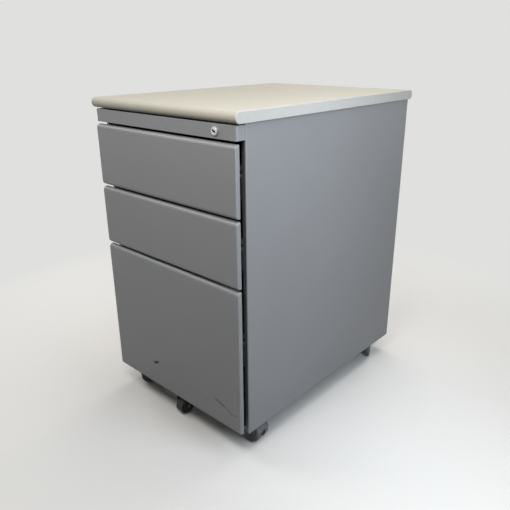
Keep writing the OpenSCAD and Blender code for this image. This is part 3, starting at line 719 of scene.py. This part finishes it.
def lock_plug(material, slot_shade_material):
    """Plug with an eased edge and a sunk key slot, whose inside takes a near-black finish as painted shade."""
    low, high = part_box("lock_plug")
    centre = joint_place("lock_turn")
    bm = bmesh.new()
    rings = []
    half_step = Matrix.Rotation(math.pi / PLUG_SIDES, 4, "Z")
    for radius, height in ((PLUG_R, PLUG_EASE), (PLUG_FLAT_R, 0.0), (KEY_SLOT_W / 2, 0.0)):
        start = Matrix.Translation((0, 0, height)) @ half_step
        made = bmesh.ops.create_circle(bm, segments=PLUG_SIDES, radius=radius, matrix=start)
        rings.append(made["verts"])
    for sign in (-1, 1):
        half = [v for v in rings[2] if sign * v.co.x > 0 and abs(v.co.x) < KEY_SLOT_W / 2]
        bmesh.ops.translate(bm, vec=(sign * (KEY_SLOT_L - KEY_SLOT_W) / 2, 0, 0), verts=half)
    edge, flat, slot = ([e for e in bm.edges if set(e.verts) <= set(ring)] for ring in rings)
    bmesh.ops.bridge_loops(bm, edges=edge + flat)
    bmesh.ops.bridge_loops(bm, edges=flat + slot)
    for loop, drop in ((edge, high.y - low.y - PLUG_EASE), (slot, KEY_SLOT_DEPTH)):
        lifted = bmesh.ops.extrude_edge_only(bm, edges=loop)["geom"]
        moved = [v for v in lifted if isinstance(v, bmesh.types.BMVert)]
        bmesh.ops.translate(bm, vec=(0, 0, drop), verts=moved)
        ends = [e for e in lifted if isinstance(e, bmesh.types.BMEdge) and all(v in moved for v in e.verts)]
        bmesh.ops.contextual_create(bm, geom=ends)
    place = along((centre[X], low.y, centre[Z]), (0, 1, 0)) @ Matrix.Rotation(KEY_SLOT_TURN, 4, "Z")
    plug = finish_piece("lock_plug_face", placed(bm, place), "lock_core", material,
                        ["lock_plug"])
    reach = KEY_SLOT_L / 2 + CLOSE
    # Painted shade: the slot walls and floor take the near-black keyway finish.
    second_finish(plug, slot_shade_material, lambda co: math.hypot(co.x - centre[X], co.z - centre[Z]) < reach)


# Casters and anti-tilt wheel

def caster_frame(caster):
    """Place of a caster: origin under its swivel axis, Y towards its axle."""
    swivel = joint_place(f"{caster}_caster_swivel")
    low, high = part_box(f"{caster}_caster_axle")
    trail = (low + high) / 2 - Vector(swivel)
    turn = Matrix.Rotation(math.atan2(-trail.x, trail.y), 4, "Z")
    return Matrix.Translation((swivel[X], swivel[Y], 0)) @ turn


def caster_hood(caster, material):
    """Shell over the wheels with rounded shoulders, the web that holds the axle and the swivel boss."""
    place = caster_frame(caster)
    axle = place @ Matrix.Translation((0, CASTER_TRAIL, WHEEL_R))
    outside = arc((15.4, 20.4), 2.6, 10, 90, 6) + [(0, 23.0)]
    inside = [(0, 21.2), (15.2, 21.2), (17.2, 20.4)]
    section = outside + mirrored(outside[:-1]) + mirrored(inside[1:]) + inside
    shell = swept(in_mm(section), start=20, sweep=138, steps=36)
    web = [(3.05, -5.6), (3.05, 5.6), (3.5, 6.0), (15.6, 6.0),
           (16.0, 5.6), (16.0, -5.6), (15.6, -6.0), (3.5, -6.0)]
    disc = placed(spun(in_mm(web)), along((0, 0, 0), (1, 0, 0)))
    bridge = [(-6.0, 14.0), (6.0, 14.0), (6.0, 22.0), (-6.0, 22.0)]
    neck = swept(in_mm(bridge), start=60, sweep=98, steps=20)
    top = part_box(f"{caster}_caster_hood")[1].z / MM
    profile = [(0, -8.5), (7.6, -8.5), (8.0, -8.0), (8.0, -1.2), (7.5, -0.4), (6.8, 0),
               (4.05, 0), (4.05, -1.0), (0, -1.0)]
    boss = spun(in_mm([(r, top + h) for r, h in profile]), steps=40)
    bm = joined(placed(shell, axle), placed(disc, axle), placed(neck, axle), placed(boss, place))
    finish_piece(f"{caster}_hood_moulding", bm, f"{caster}_caster", material,
                 [f"{caster}_caster_hood"])


def caster_wheel(caster, side, material):
    """Cup-shaped wheel: crowned tread with a seam, dished face with a raised ring and a hub cap."""
    sign = 1 if side == "right" else -1
    axle = caster_frame(caster) @ along((sign * WHEEL_INNER, CASTER_TRAIL, WHEEL_R), (sign, 0, 0))
    cup = [(0, 8.3), (3.05, 8.3), (3.05, 0.0), (6.2, 0.0), (6.5, 0.3), (6.5, 6.0),
           (16.0, 6.0), (16.0, 0.4), (16.4, 0.0)]
    tread = arc((19.0, 1.0), 1.0, -90, 0, 4) + [(20.0, 4.2), (19.55, 4.5), (19.55, 4.9), (20.0, 5.2)]
    shoulder = arc((17.0, 9.0), 3.0, 0, 90, 8)
    dish = [(15.6, 12.0), (15.2, 11.85), (14.6, 11.3), (14.0, 11.05), (11.6, 11.0)]
    ring = [(11.3, 11.3), (10.7, 11.3), (10.4, 11.0), (7.4, 11.0)]
    cap = [(7.1, 11.5), (6.6, 11.8), (4.0, 11.95), (0, 12.0)]
    profile = in_mm(cup + tread + shoulder + dish + ring + cap)
    finish_piece(f"{caster}_{side}_wheel_moulding", placed(spun(profile, steps=56), axle),
                 f"{caster}_{side}_wheel", material, [f"{caster}_caster_{side}_wheel"])


def anti_tilt_wheel(material):
    """Plain wheel with dished sides, rounded shoulders and a seam round its tread."""
    low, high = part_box("anti_tilt_wheel")
    middle = (low + high) / 2
    radius = (high.z - low.z) / 2 / MM
    half = (high.x - low.x) / 2 / MM
    hub = [(2.55, half), (4.6, half), (5.0, half - 0.4), (5.4, half - 1.5)]
    dish = [(radius - 5.6, half - 1.5), (radius - 5.2, half - 0.6), (radius - 4.4, half)]
    shoulder = arc((radius - 2.5, half - 2.5), 2.5, 90, 0, 6)
    seam = [(radius, 2.0), (radius - 0.5, 1.4)]
    side = hub + dish + shoulder + seam
    profile = in_mm(side + [(r, -h) for r, h in reversed(side)])
    finish_piece("anti_tilt_roller_moulding", placed(spun(profile, steps=56), along(middle, (1, 0, 0))),
                 "anti_tilt_roller", material, ["anti_tilt_wheel"])


def anti_tilt_bracket(material):
    """Two cheeks with round ends under a foot plate with turned corners and two screw heads."""
    low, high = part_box("anti_tilt_bracket")
    wheel_low, wheel_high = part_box("anti_tilt_wheel")
    middle = (wheel_low + wheel_high) / 2
    half = (high.y - low.y) / 2
    outline = [(middle.y + half, high.z), (middle.y - half, high.z)]
    outline += arc((middle.y, middle.z), half, 180, 360, 24)
    cheek_x = wheel_high.x + CHEEK_GAP + CHEEK / 2
    screw_x = high.x - FOOT_SCREW_INSET
    screw_z = high.z - CHEEK - FOOT_SCREW_DROP
    screw = in_mm([(0, -0.6), (1.6, -0.9), (2.8, -0.5), (3.3, 0.4), (3.3, 1.0), (0, 1.0)])
    parts = []
    for sign in (-1, 1):
        cheek = cut_sheet(outline, CHEEK, CHEEK_EASE)
        parts.append(placed(cheek, Matrix.Translation((sign * cheek_x, 0, 0))))
        parts.append(placed(spun(screw, steps=28), Matrix.Translation((sign * screw_x, middle.y, screw_z))))
    parts.append(eased_block((low.x, low.y, high.z - CHEEK), high, FOOT_EASE))
    finish_piece("anti_tilt_bracket_moulding", joined(*parts), "file_drawer", material,
                 ["anti_tilt_bracket"])


# Studio

def seen_ray(tree):
    """1 for what the camera sees, by itself or in metal and clear pieces."""
    rays = add(tree, "ShaderNodeLightPath").outputs
    seen = math_node(tree, "MAXIMUM", rays["Is Camera Ray"], rays["Is Glossy Ray"])
    return math_node(tree, "MAXIMUM", seen, rays["Is Transmission Ray"])


def studio_floor():
    """Round pale floor that keeps the shadow and fades into the backdrop; it sends little light back up."""
    bm = bmesh.new()
    bmesh.ops.create_circle(bm, cap_ends=True, radius=FLOOR_REACH, segments=96)
    mesh = bpy.data.meshes.new("studio_floor")
    bm.to_mesh(mesh)
    bm.free()
    floor = bpy.data.objects.new("studio_floor", mesh)
    bpy.context.scene.collection.objects.link(floor)
    material, tree, shader = new_material("studio_paper")
    seen = seen_ray(tree)
    away = vector_node(tree, "LENGTH", {0: object_place(tree)}, "Value")
    faded = math_node(tree, "MULTIPLY", ramp(tree, away, *FLOOR_FADE), seen)
    shade = mix_colour(tree, seen, FLOOR_BOUNCE, FLOOR_PALE)
    shown = math_node(tree, "SUBTRACT", 1.0, faded)
    wire(tree, shader, {"Base Color": shade, "Alpha": shown}, Roughness=0.9)
    mesh.materials.append(material)


def soft_lamp(name, place, target, size, power, colour):
    lamp = bpy.data.lights.new(name, "AREA")
    lamp.shape = "RECTANGLE"
    lamp.size, lamp.size_y = size
    lamp.energy = power
    lamp.color = colour
    holder = bpy.data.objects.new(name, lamp)
    holder.location = place
    holder.rotation_euler = (Vector(target) - Vector(place)).to_track_quat("-Z", "Y").to_euler()
    holder.visible_camera = False
    bpy.context.scene.collection.objects.link(holder)


def studio_light():
    """Even air, pale where it is seen, and the soft lamps."""
    world = bpy.data.worlds.new("studio_air")
    world.use_nodes = True
    tree = world.node_tree
    colour = mix_colour(tree, seen_ray(tree), AIR, BACKDROP)
    tree.links.new(colour, tree.nodes["Background"].inputs["Color"])
    bpy.context.scene.world = world
    for lamp in LAMPS:
        soft_lamp(*lamp)


def photo_camera():
    """Camera fitted to the seams and corners of the photograph."""
    azimuth, elevation, roll = (math.radians(CAMERA_TURN[a]) for a in ("azimuth", "elevation", "roll"))
    level = math.cos(elevation)
    back = Vector((math.sin(azimuth) * level, -math.cos(azimuth) * level, math.sin(elevation)))
    data = bpy.data.cameras.new("photo_camera")
    data.sensor_width = SENSOR
    data.lens = SENSOR * FOCAL_PIXELS / PHOTO_SIDE
    data.shift_x = (PHOTO_MIDDLE - OPTICAL_CENTRE[0]) / PHOTO_SIDE
    data.shift_y = (OPTICAL_CENTRE[1] - PHOTO_MIDDLE) / PHOTO_SIDE
    camera = bpy.data.objects.new("photo_camera", data)
    turn = back.to_track_quat("Z", "Y").to_matrix() @ Matrix.Rotation(roll, 3, "Z")
    camera.matrix_world = Matrix.LocRotScale(Vector(CAMERA_PLACE), turn.to_quaternion(), None)
    bpy.context.scene.collection.objects.link(camera)
    bpy.context.scene.camera = camera


# Assembly

def paint_frame(finishes):
    """Gives each CAD node that shows the finish of its slot."""
    slots = {part["node"]: part["material_slot"] for part in frame["record"]["subparts"]}
    for name, node in frame["nodes"].items():
        node.data.materials.clear()
        node.data.materials.append(finishes[slots[name]])


coat = silver_coat("silver_coat")
# Darkened coat that paints the shade in the finger recess.
recess_painted_shade_coat = silver_coat("recess_painted_shade_coat", tone=RECESS_PAINTED_SHADE_TONE)
front_coat = silver_coat("front_coat", rub=FRONT_RUB)
file_coat = silver_coat("file_front_coat", rub=FRONT_RUB, scuffs=file_scuffs())
top_finish = laminate("pale_laminate")
band_finish = moulded("silver_edge_band", BAND_SILVER, BAND_RUBBED, rough=0.36)
chrome = plated("lock_chrome", CHROME, rough=0.28, streak=0.05, metal=0.5)
caster_plastic = moulded("caster_plastic", CASTER_GREY, CASTER_RUBBED, rough=0.48)
nylon = moulded("black_nylon", NYLON_BLACK, NYLON_RUBBED)
# Near-black finish that paints the shade inside the key slot.
keyway = moulded("keyway_shadow", KEYWAY_PAINTED_SHADE, KEYWAY_PAINTED_SHADE_PALER, rough=0.8, shine=0.1)
paint_frame({
    "silver_powder_coat": coat,
    "laminate_top": top_finish,
    "edge_band": band_finish,
    "lock_chrome": chrome,
    "zinc_plate": plated("zinc_plate", ZINC, rough=0.34, streak=0.08),
    "runner_steel": plated("runner_steel", RUNNER_STEEL, rough=0.38, streak=0.08),
    "ball_steel": plated("ball_steel", BALL_STEEL, rough=0.2, streak=0.05),
    "caster_plastic": caster_plastic,
    "black_nylon": nylon,
})

for drawer in DRAWERS:
    drawer_front(drawer, file_coat if drawer == "file" else front_coat)
lock_rail(coat)
for side in ("left", "right"):
    side_panel(side, coat, recess_painted_shade_coat)
    edge_band(side, band_finish)
top_board(top_finish)
for drawer in DRAWERS:
    drawer_tray(drawer, TRAY_HEIGHT[drawer], coat)
for caster in CASTERS:
    caster_hood(caster, caster_plastic)
    for side in ("left", "right"):
        caster_wheel(caster, side, caster_plastic)
anti_tilt_wheel(nylon)
anti_tilt_bracket(nylon)
lock_rim(chrome)
lock_plug(chrome, keyway)
weld_marks(coat)
studio_floor()
studio_light()
photo_camera()
bpy.context.scene.view_settings.view_transform = "Standard"
